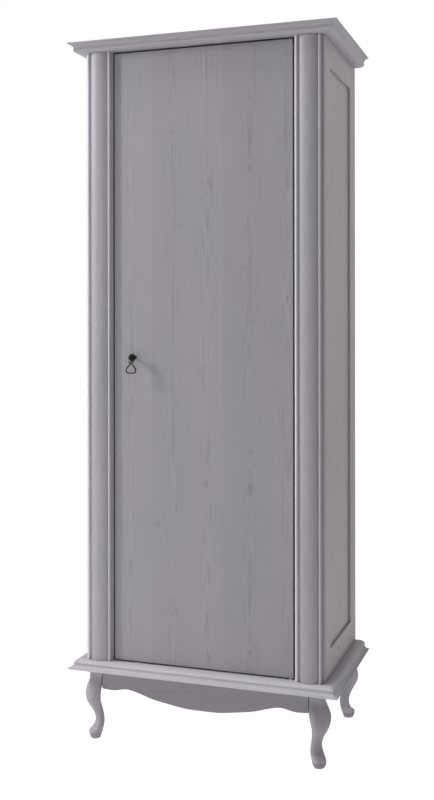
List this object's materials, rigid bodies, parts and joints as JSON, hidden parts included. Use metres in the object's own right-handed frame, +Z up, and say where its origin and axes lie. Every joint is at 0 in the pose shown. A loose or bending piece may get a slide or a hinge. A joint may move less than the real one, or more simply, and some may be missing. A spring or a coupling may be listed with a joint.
{
  "type": "one-door wardrobe",
  "caption": "Tall single-door wardrobe on curved legs, with cornice, pilasters, framed sides, hat shelf, clothes rail and a drop pull.",
  "frame": {"origin": "on the floor, under the middle of the wardrobe's bounding box", "axes": "+X to the viewer's right, +Y to the back, +Z up; the door faces -Y"},
  "size_m": [0.784, 0.4754, 2],
  "materials": {
    "stained_pine": "grey-lilac stain, satin",
    "stained_hardboard": "grey lacquer, matt",
    "blackened_iron": "blackened, rubbed edges",
    "zinc_steel": "zinc-plated",
    "nickel_plate": "nickel-plated",
    "chromed_tube": "polished",
    "magnet": "ground ferrite",
    "grey_plastic": "moulded, matt"
  },
  "bodies": {
    "carcass": {"apron_front": "stained_pine", "apron_left": "stained_pine", "apron_rear": "stained_pine", "apron_right": "stained_pine", "back_panel": "stained_hardboard", "base_moulding_front": "stained_pine", "base_moulding_left": "stained_pine", "base_moulding_right": "stained_pine", "bottom_panel": "stained_pine", "catch_housing": "grey_plastic", "catch_magnet": "magnet", "clothes_rail": "chromed_tube", "cornice_front": "stained_pine", "cornice_left": "stained_pine", "cornice_right": "stained_pine", "face_stile_left": "stained_pine", "face_stile_right": "stained_pine", "foot_glide_front_left": "grey_plastic", "foot_glide_front_right": "grey_plastic", "foot_glide_rear_left": "grey_plastic", "foot_glide_rear_right": "grey_plastic", "hat_shelf": "stained_pine", "leg_bolt_front_left": "zinc_steel", "leg_bolt_front_right": "zinc_steel", "leg_bolt_rear_left": "zinc_steel", "leg_bolt_rear_right": "zinc_steel", "leg_front_left": "stained_pine", "leg_front_right": "stained_pine", "leg_rear_left": "stained_pine", "leg_rear_right": "stained_pine", "pilaster_left": "stained_pine", "pilaster_right": "stained_pine", "pivot_plate_bottom": "zinc_steel", "pivot_plate_top": "zinc_steel", "rail_bracket_front": "nickel_plate", "rail_bracket_rear": "nickel_plate", "shelf_pin_front_left": "nickel_plate", "shelf_pin_front_right": "nickel_plate", "shelf_pin_rear_left": "nickel_plate", "shelf_pin_rear_right": "nickel_plate", "side_bottom_rail_left": "stained_pine", "side_bottom_rail_right": "stained_pine", "side_front_stile_left": "stained_pine", "side_front_stile_right": "stained_pine", "side_panel_left": "stained_pine", "side_panel_right": "stained_pine", "side_rear_stile_left": "stained_pine", "side_rear_stile_right": "stained_pine", "side_top_rail_left": "stained_pine", "side_top_rail_right": "stained_pine", "top_panel": "stained_pine"},
    "door": {"door": "stained_pine", "pivot_socket_bottom": "zinc_steel", "pivot_socket_top": "zinc_steel", "pull_knob": "blackened_iron", "pull_pin": "blackened_iron", "pull_screw": "zinc_steel", "strike_plate": "zinc_steel"},
    "pendant": {"pull_pendant": "blackened_iron"}
  },
  "joints": [
    {"name": "door_hinge", "type": "hinge", "parent": "carcass", "child": "door", "pos_m": [0.2525, -0.18566, 0.2375], "axis": [0, 0, 1], "range_deg": [0, 100]},
    {"name": "pendant_swing", "type": "hinge", "parent": "door", "child": "pendant", "pos_m": [-0.199, -0.22666, 1.1], "axis": [-1, 0, 0], "range_deg": [-15, 95]}
  ]
}
